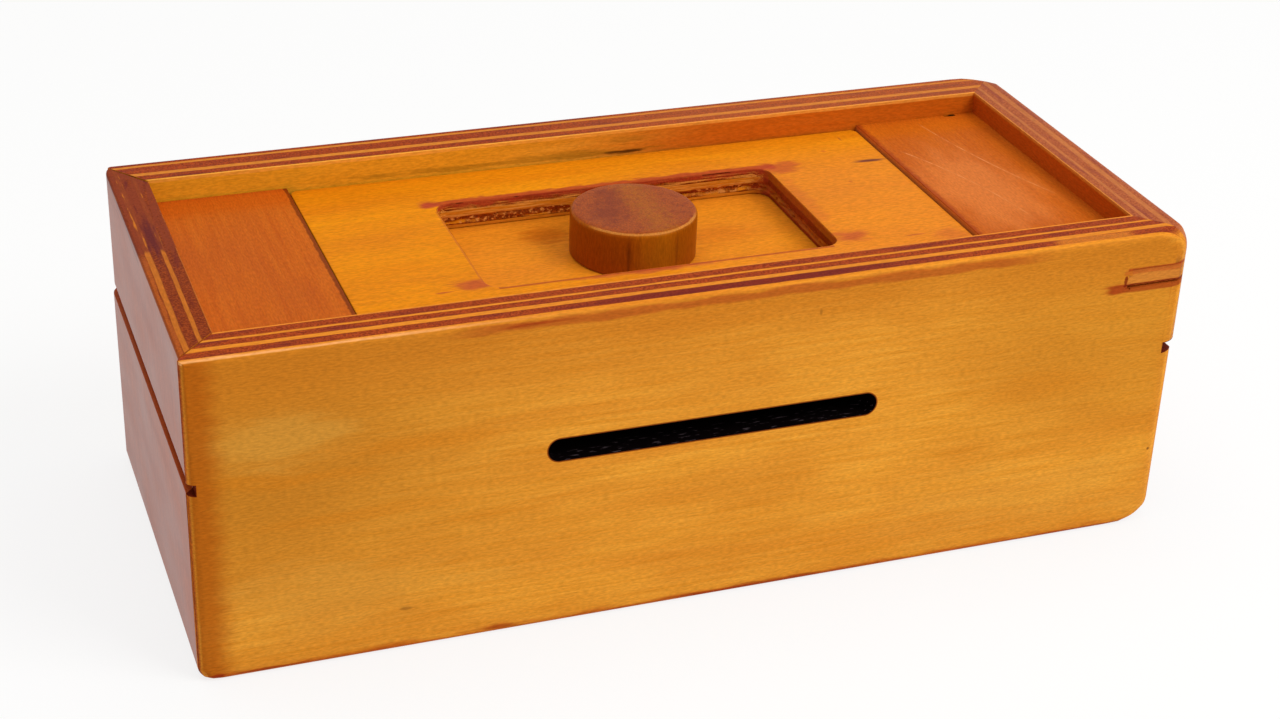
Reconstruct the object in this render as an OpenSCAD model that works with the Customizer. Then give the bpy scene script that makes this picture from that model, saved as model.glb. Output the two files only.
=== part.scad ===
// Wooden puzzle box with a money slot. A sliding lid forms the left half of the top, and a
// knob in a routed window throws two hidden bolts that lock the lid in the long walls.
// Frame: origin at the middle of the underside, +X to the right end, -Y to the slotted front
// wall, +Z up. The lid is shut, the knob stands mid-window and the bolts are drawn in.

/* [Carcass] */
// Length over the two ends
box_l = 184; // [176:1:196]
// Width over the front and back walls
box_w = 81; // [79:1:90]
// Height from the underside to the rim
box_h = 61; // [59:1:70]
// Thickness of the front and back walls
wall_t = 9.1; // [8.6:0.1:9.6]
// Thickness of the left end
left_end_t = 7.2; // [6.8:0.1:9]
// Thickness of the right end
right_end_t = 8.7; // [6.8:0.1:9]
// Radius sanded on the upright corners
corner_r = 4.2; // [3:0.1:5]
// Radius on the front left upright corner, which was hardly sanded
crisp_r = 1.8; // [1:0.1:3]
// Radius sanded on the top and bottom edges of the two ends
end_r = 2.8; // [1.5:0.1:3.5]
// Radius on the left end's top edge, which was hardly sanded either
rim_end_r = 0.5; // [0.4:0.1:1]
// Radius that the sander left where the right end's edges meet in a corner
knock_r = 4.2; // [3:0.1:5]
// Radius sanded on the top and bottom edges of the long walls
edge_r = 1.2; // [0.8:0.1:1.8]
// How far the left end stands back below the kerf
left_inset = 0.1; // [0:0.1:0.4]
// How far the right end stands back below the kerf
right_inset = 0.4; // [0:0.1:0.6]
// How far the lid's end stands back from the walls beside it
lid_set_in = 0.4; // [0:0.1:0.6]

/* [Kerf across the ends] */
// Height of the middle of the kerf, where the upper and lower ends part
kerf_z = 37.6; // [36.8:0.1:38.2]
// Height of the kerf
kerf_h = 2; // [1.4:0.1:2.2]
// Depth of the kerf in the left end
kerf_left_d = 1.5; // [1:0.1:2.2]
// Depth of the kerf in the right end
kerf_right_d = 3.9; // [2:0.1:4.4]
// Radius sanded on the lower lip of the kerf in the right end
lip_r = 1.2; // [0.4:0.1:1.6]

/* [Money slot] */
// Length of the slot over its round ends
slot_l = 61; // [54:1:66]
// Height of the slot
slot_h = 4.2; // [4:0.1:4.4]
// Height of the middle of the slot
slot_z = 35.1; // [20:0.1:35.5]
// Sideways place of the middle of the slot
slot_x = -0.4; // [-5:0.1:5]

/* [Deck] */
// Depth of the two end panels of the deck below the rim
side_drop = 4.3; // [3.5:0.1:6]
// Thickness of the two end panels of the deck
side_t = 6; // [5.5:0.1:6.5]
// Thickness of the middle panel of the deck
centre_t = 5.2; // [4.8:0.1:5.4]
// Radius on the upright corners of the middle panel
centre_r = 1.5; // [1:0.1:2]
// Seam between the left and middle panels
seam_left_x = -59.2; // [-62:0.1:-58.6]
// Seam between the middle and right panels
seam_right_x = 56.9; // [56.4:0.1:60]

/* [Window and knob] */
// Length of the window
window_l = 66.6; // [60:0.1:67.4]
// Width of the window
window_w = 36.3; // [30:0.1:38]
// Corner radius that the router leaves in the window
window_r = 3; // [2:0.5:4]
// Sideways place of the middle of the window
window_x = -1.5; // [-1.8:0.05:-1]
// Diameter of the knob
knob_d = 23.4; // [18:0.1:26]
// Height of the knob's top above the underside of the box
knob_top_z = 59.2; // [58:0.1:62]
// Sideways place of the knob at rest
knob_x = -1.9; // [-2.4:0.1:-1]

/* [Lock] */
// Travel of the knob each way
knob_travel = 11; // [8:0.5:11]
// How far each bolt moves for the whole of that travel
bolt_throw = 3; // [2.4:0.1:3]

/* [Hidden] */
round_fn = 64;
eps = 0.01;

// How far the front wall's left mitre starts behind the corner
front_lap = 1.4;

// Gaps
side_gap = 0.3;
run_gap = 0.2;
part_gap = 0.3;
open_gap = 0.6;
tip_gap = 0.15;
seam_gap = 0.4;

// Inner faces of the carcass
in_left = -box_l/2 + left_end_t;
in_right = box_l/2 - right_end_t;
in_l = in_right - in_left;
in_y = box_w/2 - wall_t;

// Layers of the lid, from the deck down
side_top = box_h - side_drop;
deck_z = side_top - side_t;
runner_t = 4.5;
carrier_top = deck_z - runner_t;
carrier_t = 6;
carrier_z = carrier_top - carrier_t;
lid_y = in_y - side_gap;

// Tongue on the lid's edges and the groove that it runs in
tongue_t = 3;
tongue_w = 3.2;
tongue_z = carrier_top - tongue_t;
groove_d = tongue_w + side_gap;
groove_z = tongue_z - run_gap;
groove_h = tongue_t + 2*run_gap;

// Base panel, housed all round
base_t = 4;
base_z = 4;
base_housing = 4;
base_tongue = 3.8;

// Cleat and stop bar under the right deck panel, and a nick in that panel's back edge
cleat_w = 8;
nick_x = 76.6;
nick_l = 2.6;
nick_d = 0.8;

// Slider and the channel that it runs in
channel_y = 24;
slider_t = runner_t - 2*run_gap;
slider_z = carrier_top + run_gap;
slider_top = slider_z + slider_t;
slider_left = window_x - window_l/2 - knob_travel - 0.5;
slider_right = window_x + window_l/2 + knob_travel + 0.5;
slider_y = channel_y - run_gap;
channel_left = slider_left - knob_travel - part_gap;
channel_right = slider_right + knob_travel + part_gap;

// Bolts and their cam slots
cam_slope = bolt_throw/knob_travel;
pin_r = 1.5;
pin_y = 16;
pin_len = 6;
slot_fit = 0.15;
plate_l = 34;
plate_in = 8.5;
plate_out = 23.5;
tail_w = 12;
bolt_t = 2.7;
bolt_z = tongue_z + 0.15;
bolt_tip = lid_y + tongue_w - 0.4;
keeper_gap = 0.4;

// Screws
screw_r = 1.6;
screw_head_r = 2.8;
screw_head_h = 1.8;
lid_screw_len = 13.5;
knob_screw_len = 9;
lid_screw_x = [-73, -38, 38];
lid_screw_y = (channel_y + lid_y)/2;

// Lost splinter of face veneer on the front wall
chip_l = 12.6;
chip_z = 51.4;
chip_h = 3.4;
chip_d = 0.35;
crack_d = 0.9;
crack_h = 0.45;

// ---- Shared shapes ----

// Rectangle with round corners, centred
module rounded_rect(w, h, r) {
    square([w - 2*r, h], center = true);
    square([w, h - 2*r], center = true);
    for (sx = [-1, 1], sy = [-1, 1])
        translate([sx*(w/2 - r), sy*(h/2 - r)])
            circle(r = r, $fn = round_fn);
}

// Plan of the block, whose front left corner has a radius of its own
module block_plan(l, front_left_r) {
    rounded_rect(l, box_w, corner_r);
    intersection() {
        rounded_rect(l, box_w, front_left_r);
        translate([-l/2, -box_w/2])
            square([l/4, box_w/4]);
    }
}

// Side view of the block, whose top left edge has a radius of its own
module block_profile(l) {
    rounded_rect(l, box_h, end_r);
    intersection() {
        rounded_rect(l, box_h, rim_end_r);
        translate([-l/2, 0])
            square([l/4, box_h/2]);
    }
}

// Half space whose top and bottom edges are rounded, across a right corner of the block
module corner_sanding(l, side) {
    reach = ((l + box_w)/2 - 2*corner_r)*cos(45) + corner_r + 0.05;
    rotate([0, 0, side*45])
        translate([0, box_l, box_h/2])
            rotate([90, 0, 0])
                linear_extrude(2*box_l) {
                    rounded_rect(2*reach, box_h, knock_r);
                    translate([-2*box_l, -box_h/2])
                        square([2*box_l, box_h]);
                }
}

// Box with its upright corners, end edges and long edges sanded to their own radii
module sanded_block(l, front_left_r) {
    intersection() {
        linear_extrude(box_h)
            block_plan(l, front_left_r);
        corner_sanding(l, -1);
        corner_sanding(l, 1);
        translate([0, box_w/2 + 1, box_h/2])
            rotate([90, 0, 0])
                linear_extrude(box_w + 2)
                    block_profile(l);
        translate([-l/2 - 1, 0, box_h/2])
            rotate([90, 0, 90])
                linear_extrude(l + 2)
                    rounded_rect(box_w, box_h, edge_r);
    }
}

// Slab across the whole box between two heights
module slab(z0, z1) {
    translate([-box_l, -box_w, z0])
        cube([2*box_l, 2*box_w, z1 - z0]);
}

// Saw kerf across both ends, its lower lip eased at the right end
module kerfs() {
    floor_z = kerf_z - kerf_h/2;
    lip_x = box_l/2 - right_inset;
    translate([-box_l/2 - 1, -box_w, floor_z])
        cube([kerf_left_d + 1, 2*box_w, kerf_h]);
    translate([box_l/2 - kerf_right_d, -box_w, floor_z])
        cube([kerf_right_d + 1, 2*box_w, kerf_h]);
    translate([0, box_w, 0])
        rotate([90, 0, 0])
            linear_extrude(2*box_w)
                difference() {
                    translate([lip_x - lip_r, floor_z - lip_r])
                        square([lip_r + 1, lip_r + eps]);
                    translate([lip_x - lip_r, floor_z - lip_r])
                        circle(r = lip_r, $fn = round_fn);
                }
}

// Outside form of the whole carcass
module carcass_form(front_left_r) {
    difference() {
        union() {
            intersection() {
                sanded_block(box_l, front_left_r);
                slab(kerf_z, box_h + 1);
            }
            intersection() {
                translate([(left_inset - right_inset)/2, 0, 0])
                    sanded_block(box_l - left_inset - right_inset, front_left_r);
                slab(-1, kerf_z);
            }
        }
        kerfs();
    }
}

// Plan of a wall along -Y, mitred at both ends, its left mitre starting lap behind the corner
module wall_plan(lap) {
    behind_corner = lap > 0 ? [[-box_l/2, -box_w/2 + lap]] : [];
    polygon(concat([
        [-box_l/2, -box_w/2], [box_l/2, -box_w/2],
        [in_right, -in_y], [in_left, -in_y]
    ], behind_corner));
}

// How far along Y a mitre of an end t thick moves when its face is eased back by gap
function mitre_ease(t, gap) = gap*sqrt(t*t + wall_t*wall_t)/t;

// Plan of the left (side = -1) or right (side = 1) end. Its two mitres are eased back, the
// back one less where it reaches the outside
module end_plan(side, front_gap, back_gap) {
    t = side < 0 ? left_end_t : right_end_t;
    out_x = side*box_l/2;
    in_x = out_x - side*t;
    lap = side < 0 ? front_lap : 0;
    front = mitre_ease(t, front_gap);
    back = mitre_ease(t, back_gap);
    back_tip = min(back, mitre_ease(t, tip_gap));
    polygon([
        [out_x, -box_w/2 + lap + front], [out_x, box_w/2 - back_tip],
        [in_x, in_y - back], [in_x, -in_y + front]
    ]);
}

// Long wall at -Y with the groove for the lid, the housing for the base and the keeper
module long_wall(lap, left_r) {
    difference() {
        intersection() {
            carcass_form(left_r);
            translate([0, 0, -1])
                linear_extrude(box_h + 2)
                    wall_plan(lap);
        }
        translate([-box_l, -in_y - groove_d, groove_z])
            cube([2*box_l, groove_d + 1, groove_h]);
        translate([-box_l, -in_y - base_housing, base_z])
            cube([2*box_l, base_housing + 1, base_t]);
        translate([knob_x - tail_w/2 - keeper_gap, -bolt_tip - bolt_throw - keeper_gap, groove_z])
            cube([tail_w + 2*keeper_gap, 5, groove_h]);
    }
}

// One piece of the left or right end, between two heights, its outer face moved by set_in
module end_piece(side, z0, z1, front_gap = 0, back_gap = 0, set_in = 0) {
    intersection() {
        translate([set_in, 0, 0])
            carcass_form(crisp_r);
        translate([0, 0, z0])
            linear_extrude(z1 - z0)
                end_plan(side, front_gap, back_gap);
    }
}

// Housing for the base in both lower ends
module end_housings() {
    translate([in_left - base_housing, -box_w, base_z])
        cube([in_l + 2*base_housing, 2*box_w, base_t]);
}

// Screw pointing up, its head flush with z = 0
module wood_screw(len) {
    cylinder(r1 = screw_head_r, r2 = screw_r, h = screw_head_h, $fn = round_fn);
    cylinder(r = screw_r, h = len, $fn = round_fn);
}

// The lid's screws, in the carrier's underside
module lid_screws() {
    for (x = lid_screw_x, side = [-1, 1])
        translate([x, side*lid_screw_y, carrier_z])
            wood_screw(lid_screw_len);
}

// The knob's screw, in the slider's underside
module slider_screw() {
    translate([knob_x, 0, slider_z])
        wood_screw(knob_screw_len);
}

// ---- Fixed case ----

// Splinter of face veneer that has broken away, with the crack along its lower edge
module splinter() {
    face_y = -box_w/2;
    translate([box_l/2 - chip_l, face_y - 1, chip_z])
        cube([chip_l + 1, chip_d + 1, chip_h]);
    translate([box_l/2 - chip_l - 0.6, face_y - 1, chip_z - crack_h])
        cube([chip_l + 2, crack_d + 1, crack_h + eps]);
    translate([box_l/2 - chip_l - 1.2, face_y - 1, chip_z - crack_h])
        rotate([0, 12, 0])
            cube([1.1, chip_d + 1, chip_h*0.8]);
}

module front_wall() {
    color("#CC8430")
        difference() {
            long_wall(front_lap, crisp_r);
            translate([slot_x, -in_y + 1, slot_z])
                rotate([90, 0, 0])
                    linear_extrude(wall_t + 2)
                        rounded_rect(slot_l, slot_h, slot_h/2 - eps);
            splinter();
        }
}

module back_wall() {
    color("#CC8430")
        mirror([0, 1, 0])
            long_wall(0, corner_r);
}

module left_lower_end() {
    color("#A9743F")
        difference() {
            end_piece(-1, -1, kerf_z - part_gap/2);
            end_housings();
        }
}

module right_lower_end() {
    color("#A9743F")
        difference() {
            end_piece(1, -1, kerf_z);
            end_housings();
        }
}

module right_upper_end() {
    color("#A9743F")
        end_piece(1, kerf_z, box_h + 1);
}

module base_panel() {
    reach_y = in_y + base_tongue;
    color("#D9A25C")
        translate([in_left - base_tongue, -reach_y, base_z])
            cube([in_l + 2*base_tongue, 2*reach_y, base_t]);
}

module right_deck_panel() {
    left = seam_right_x + seam_gap/2;
    color("#C9652B")
        difference() {
            translate([left, -in_y, deck_z])
                cube([in_right - left, 2*in_y, side_t]);
            translate([nick_x, in_y - nick_d, deck_z - 1])
                cube([nick_l, nick_d + 1, side_t + 2]);
        }
}

module right_cleat() {
    color("#D9A25C")
        translate([in_right - cleat_w, -in_y, deck_z - cleat_w])
            cube([cleat_w, 2*in_y, cleat_w]);
}

// Bar under the edge of the right panel, keyed into both wall grooves, that stops the lid
module lid_stop_bar() {
    bar_x = seam_right_x + seam_gap/2;
    color("#D9A25C") {
        translate([bar_x, -in_y, carrier_z])
            cube([cleat_w, 2*in_y, deck_z - carrier_z]);
        translate([bar_x, -in_y - tongue_w, groove_z])
            cube([cleat_w, 2*(in_y + tongue_w), groove_h]);
    }
}

// ---- Sliding lid ----

module left_upper_end() {
    color("#A9743F")
        difference() {
            end_piece(-1, kerf_z + part_gap/2, box_h + 1, part_gap, open_gap, lid_set_in);
            translate([in_left - tongue_w, -box_w, tongue_z])
                cube([tongue_w + 1, 2*box_w, tongue_t]);
        }
}

module left_deck_panel() {
    color("#C9652B")
        difference() {
            translate([in_left, -lid_y, deck_z])
                cube([seam_left_x - seam_gap/2 - in_left, 2*lid_y, side_t]);
            lid_screws();
        }
}

module centre_deck_panel() {
    left = seam_left_x + seam_gap/2;
    right = seam_right_x - seam_gap/2;
    color("#E3912A")
        difference() {
            translate([(left + right)/2, 0, deck_z])
                linear_extrude(centre_t)
                    rounded_rect(right - left, 2*lid_y, centre_r);
            translate([window_x, 0, deck_z - 1])
                linear_extrude(centre_t + 2)
                    rounded_rect(window_l, window_w, window_r);
            lid_screws();
        }
}

// Well for one bolt in the carrier's top face, long enough for its whole travel
module bolt_well() {
    translate([knob_x - plate_l/2 - run_gap, plate_in - bolt_throw - run_gap, tongue_z])
        cube([plate_l + 2*run_gap, plate_out - plate_in + 2*bolt_throw + 2*run_gap, tongue_t + 1]);
    translate([knob_x - tail_w/2 - run_gap, plate_out, tongue_z])
        cube([tail_w + 2*run_gap, in_y, tongue_t + 1]);
}

module lid_carrier() {
    right = seam_right_x - seam_gap/2;
    color("#D9A25C")
        difference() {
            union() {
                translate([in_left, -lid_y, carrier_z])
                    cube([right - in_left, 2*lid_y, carrier_t]);
                translate([in_left - tongue_w, -lid_y, tongue_z])
                    cube([tongue_w + 1, 2*lid_y, tongue_t]);
                translate([in_left, -lid_y - tongue_w, tongue_z])
                    cube([right - in_left, 2*(lid_y + tongue_w), tongue_t]);
            }
            bolt_well();
            mirror([0, 1, 0])
                bolt_well();
            lid_screws();
        }
}

// Strip beside the slider, at +Y
module runner() {
    difference() {
        translate([in_left, channel_y, carrier_top])
            cube([seam_right_x - seam_gap/2 - in_left, lid_y - channel_y, runner_t]);
        lid_screws();
    }
}

module front_runner() {
    color("#D9A25C")
        mirror([0, 1, 0])
            runner();
}

module back_runner() {
    color("#D9A25C")
        runner();
}

module left_filler() {
    color("#D9A25C")
        translate([in_left, -channel_y, carrier_top])
            cube([channel_left - in_left, 2*channel_y, runner_t]);
}

module right_filler() {
    color("#D9A25C")
        translate([channel_right, -channel_y, carrier_top])
            cube([seam_right_x - seam_gap/2 - channel_right, 2*channel_y, runner_t]);
}

module carrier_screws() {
    color("#B8B2A0")
        lid_screws();
}

// ---- Slider with the knob ----

module slider_board() {
    color("#E3912A")
        difference() {
            translate([slider_left, -slider_y, slider_z])
                cube([slider_right - slider_left, 2*slider_y, slider_t]);
            slider_screw();
            cam_pin_pair();
        }
}

module knob() {
    ease = 0.8;
    height = knob_top_z - slider_top;
    color("#9C5730")
        difference() {
            translate([knob_x, 0, slider_top])
                rotate_extrude($fn = 96) {
                    square([knob_d/2 - ease, height]);
                    square([knob_d/2, height - ease]);
                    translate([knob_d/2 - ease, height - ease])
                        circle(r = ease, $fn = round_fn);
                }
            slider_screw();
        }
}

module knob_screw() {
    color("#B8B2A0")
        slider_screw();
}

// The two pins that drive the bolts, half sunk in the slider
module cam_pin_pair() {
    for (side = [-1, 1])
        translate([knob_x, side*pin_y, slider_z + pin_len/2 - pin_len])
            cylinder(r = pin_r, h = pin_len, $fn = round_fn);
}

module cam_pins() {
    color("#B8B2A0")
        cam_pin_pair();
}

// ---- Bolts ----

// Slot along which the pin drives a bolt at +Y: it climbs inwards by the throw
module cam_slot() {
    r = pin_r + slot_fit;
    run = knob_travel/cos(atan(cam_slope));
    translate([knob_x, pin_y, bolt_z - 1])
        rotate([0, 0, -atan(cam_slope)])
            linear_extrude(bolt_t + 2) {
                square([2*run, 2*r], center = true);
                for (side = [-1, 1])
                    translate([side*run, 0])
                        circle(r = r, $fn = round_fn);
            }
}

module bolt() {
    difference() {
        union() {
            translate([knob_x - plate_l/2, plate_in, bolt_z])
                cube([plate_l, plate_out - plate_in, bolt_t]);
            translate([knob_x - tail_w/2, plate_out - 1, bolt_z])
                cube([tail_w, bolt_tip - plate_out + 1, bolt_t]);
        }
        cam_slot();
    }
}

module front_bolt() {
    color("#8C5A2E")
        mirror([0, 1, 0])
            bolt();
}

module back_bolt() {
    color("#8C5A2E")
        bolt();
}

front_wall();
back_wall();
left_lower_end();
right_lower_end();
right_upper_end();
base_panel();
right_deck_panel();
right_cleat();
lid_stop_bar();
left_upper_end();
left_deck_panel();
centre_deck_panel();
lid_carrier();
front_runner();
back_runner();
left_filler();
right_filler();
carrier_screws();
slider_board();
knob();
knob_screw();
cam_pins();
front_bolt();
back_bolt();
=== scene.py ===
# %% [markdown]
# # A stained plywood puzzle box
#
# The box is a money box with a trick lid. Its carcass is mitred from thick plywood, its deck is
# set below the rim, and a round knob stands in a routed window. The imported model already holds
# every board, screw and bolt in its right place, so this lesson only dresses them: it eases the
# edges that a maker would sand, remakes the pieces whose surface needs more than a flat solid,
# and gives every board a finish that knows how the wood inside it runs.

import bmesh
import bpy
import numpy as np
from mathutils import Matrix, Vector


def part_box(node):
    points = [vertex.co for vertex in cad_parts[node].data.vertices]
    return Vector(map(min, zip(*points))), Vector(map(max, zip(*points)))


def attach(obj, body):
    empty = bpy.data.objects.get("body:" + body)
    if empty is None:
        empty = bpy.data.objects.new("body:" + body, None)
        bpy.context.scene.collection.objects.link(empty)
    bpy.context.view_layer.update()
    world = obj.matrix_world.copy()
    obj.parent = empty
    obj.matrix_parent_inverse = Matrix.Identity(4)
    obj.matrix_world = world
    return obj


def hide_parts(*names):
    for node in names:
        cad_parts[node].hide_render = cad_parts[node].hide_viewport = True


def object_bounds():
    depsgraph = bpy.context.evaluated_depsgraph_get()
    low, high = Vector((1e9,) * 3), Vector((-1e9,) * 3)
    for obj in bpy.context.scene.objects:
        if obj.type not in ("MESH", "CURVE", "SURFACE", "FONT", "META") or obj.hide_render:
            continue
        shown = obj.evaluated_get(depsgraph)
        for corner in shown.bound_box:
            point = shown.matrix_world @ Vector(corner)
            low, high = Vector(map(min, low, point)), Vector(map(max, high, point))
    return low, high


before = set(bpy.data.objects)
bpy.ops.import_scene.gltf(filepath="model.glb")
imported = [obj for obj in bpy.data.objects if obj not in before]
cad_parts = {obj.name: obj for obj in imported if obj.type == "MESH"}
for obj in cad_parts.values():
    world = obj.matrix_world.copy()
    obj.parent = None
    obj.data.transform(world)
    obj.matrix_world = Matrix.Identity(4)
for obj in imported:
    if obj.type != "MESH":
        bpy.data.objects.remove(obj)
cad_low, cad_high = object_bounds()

MM = 0.001
print("box", [round(v/MM, 1) for v in cad_high - cad_low], "mm,", len(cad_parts), "nodes")

# %% [markdown]
# ## Five small tools
#
# Colours are written as the sRGB hex values that a paint chart gives, and the shaders want linear
# light, so one function turns the one into the other. The next adds one shader node: its settings
# are the node's own properties, its inputs are numbers or links, and it hands back the output
# socket that the next node reads. The others start a material, put an object in the scene and
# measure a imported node.


# %% Small tools
def linear(hex_colour):
    """sRGB hex to linear RGBA: c/12.92 if dark, else ((c + 0.055)/1.055) to the power 2.4."""
    value = np.array([int(hex_colour[i:i + 2], 16) for i in (1, 3, 5)])/255
    light = np.where(value <= 0.04045, value/12.92, ((value + 0.055)/1.055)**2.4)
    return (*light.tolist(), 1.0)


def add(tree, kind, inputs=(), out=0, stops=(), **settings):
    """Adds one shader node and returns its output out.

    inputs fills the sockets in order, or by name or number if it is a dict. stops are a colour
    ramp's (place, brightness) pairs. settings are the node's properties."""
    made = tree.nodes.new("ShaderNode" + kind)
    for name, value in settings.items():
        setattr(made, name, value)
    for name, value in (inputs if isinstance(inputs, dict) else dict(enumerate(inputs))).items():
        if isinstance(value, bpy.types.NodeSocket):
            tree.links.new(value, made.inputs[name])
        else:
            made.inputs[name].default_value = value
    for at, (place, brightness) in enumerate(stops):
        ramp = made.color_ramp
        stop = ramp.elements[at] if at < 2 else ramp.elements.new(place)
        stop.position, stop.color = place, (brightness, brightness, brightness, 1.0)
    return made.outputs[out]


def new_material(name):
    """A material, its node tree and its Principled shader."""
    made = bpy.data.materials.new(name)
    made.use_nodes = True
    return made, made.node_tree, made.node_tree.nodes["Principled BSDF"]


def placed(name, data):
    """A new object in the scene that shows data."""
    made = bpy.data.objects.new(name, data)
    bpy.context.scene.collection.objects.link(made)
    return made


def box_mm(node):
    """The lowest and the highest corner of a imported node's box, in mm."""
    return [np.array(corner)/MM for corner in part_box(node)]


# %% [markdown]
# ## How plywood is coloured
#
# Plywood is a stack of thin veneers whose grain turns by a right angle from one to the next. Where
# a saw cuts across the fibres the end grain drinks the stain and goes red-brown, and where it cuts
# along them the edge stays as bright as the face. So one solid pattern can dress a whole board: it
# works out how deep a point lies in the board, which veneer that is, which way that veneer's
# fibres run, and how squarely the surface cuts them. The bands on the rim, the mitres and the
# walls of the window then come out by themselves.
#
# All places are turned to millimetres first, so that every pattern can be given its real size.


# %% Places, fibres and bands
def millimetres(tree):
    """The point's place in millimetres, from Object coordinates."""
    place = add(tree, "TexCoord", out="Object")
    return add(tree, "VectorMath", {0: place, "Scale": 1/MM}, operation="SCALE")


def fibres(tree, place, axis, length, width, detail=2.0, shift=0.0):
    """Noise from 0 to 1 in streaks that are length long along axis and width wide, in mm."""
    scale = [1/(length if letter == axis else width) for letter in "XYZ"]
    stretched = add(tree, "Mapping", {0: place, "Location": (shift, shift, shift), "Scale": scale})
    return add(tree, "TexNoise", {"Vector": stretched, "Scale": 1.0, "Detail": detail})


def torn_noise(tree, place, streaks, detail, shift, reach, low=0.2, high=0.8):
    """Noise from -reach to reach that breaks up an edge. streaks are its axis, length and width."""
    noise = fibres(tree, place, *streaks, detail, shift)
    return add(tree, "MapRange", (noise, low, high, -reach, reach))


def squareness(tree, axis):
    """How squarely the surface cuts fibres along axis: the size of the normal's component there."""
    normal = add(tree, "TexCoord", out="Normal")
    return add(tree, "Math", (add(tree, "SeparateXYZ", (normal,), out=axis),), operation="ABSOLUTE")


def band(tree, value, low, high, soft):
    """1 where value lies from low to high, falling to 0 over soft on either side."""
    rising = add(tree, "MapRange", (value, low - soft, low), interpolation_type="SMOOTHSTEP")
    falling = add(tree, "MapRange", (value, high + soft, high), interpolation_type="SMOOTHSTEP")
    return add(tree, "Math", (rising, falling), operation="MULTIPLY")


# %% [markdown]
# ## The board finish
#
# Every board is dressed by one recipe. A board is told by the axis through it, where its outer face
# lies, the depths at which one veneer gives way to the next, and the way its fibres run. Its tones
# are those of a honey spirit stain under satin lacquer, wiped on by hand: long grain light and
# dark, its browner tone on a cut edge, end grain, and the purple-red of places where the stain
# stood. The gloss is soft and a little uneven, and the pores stay open under it as short dashes
# along the grain.
#
# What only one board shows, such as a burnt slot or a bare inside, comes as extra layers. Each is
# a tone and a function that makes its mask, so the recipe stays the same for all.

# %% Sizes of the wood pattern, in millimetres
# The length and the width of its streaks
SPECKLE, PORE, GRAIN = (1.1, 0.30), (3.0, 0.26), (18.0, 0.75)
STREAK, CLOUD, POOL = (70.0, 6.0), (26.0, 11.0), (14.0, 1.6)
GLUE_WIDTH, WAVER = 0.10, 0.10
RAMP_DEPTH = 12.0


# %% Veneers of one board
def blend(tree, share, first, second):
    """Colour first where share is 0 and second where it is 1."""
    return add(tree, "Mix", {0: share, 6: first, 7: second}, 2, data_type="RGBA")


def veneers(tree, depth, ends, first):
    """Which set of veneers a depth falls in, 0 or 1 in turn, and how near it is to a glue line.

    ends are the depths at which a veneer ends, and first is the set that the outermost is of."""
    part = add(tree, "Math", (depth, 1/RAMP_DEPTH), operation="MULTIPLY")
    turns = [(0.0, first)] + [(d/RAMP_DEPTH, (first + i + 1) % 2) for i, d in enumerate(ends)]
    kind = add(tree, "ValToRGB", (part,), stops=turns)
    tree.nodes[-1].color_ramp.interpolation = "CONSTANT"
    lines = [(0.0, 0.0)]
    for d in ends:
        lines += [((d + offset)/RAMP_DEPTH, value)
                  for offset, value in ((-GLUE_WIDTH, 0.0), (0.0, 1.0), (GLUE_WIDTH, 0.0))]
    glue = add(tree, "ValToRGB", (part,), stops=lines)
    return kind, glue


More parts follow.
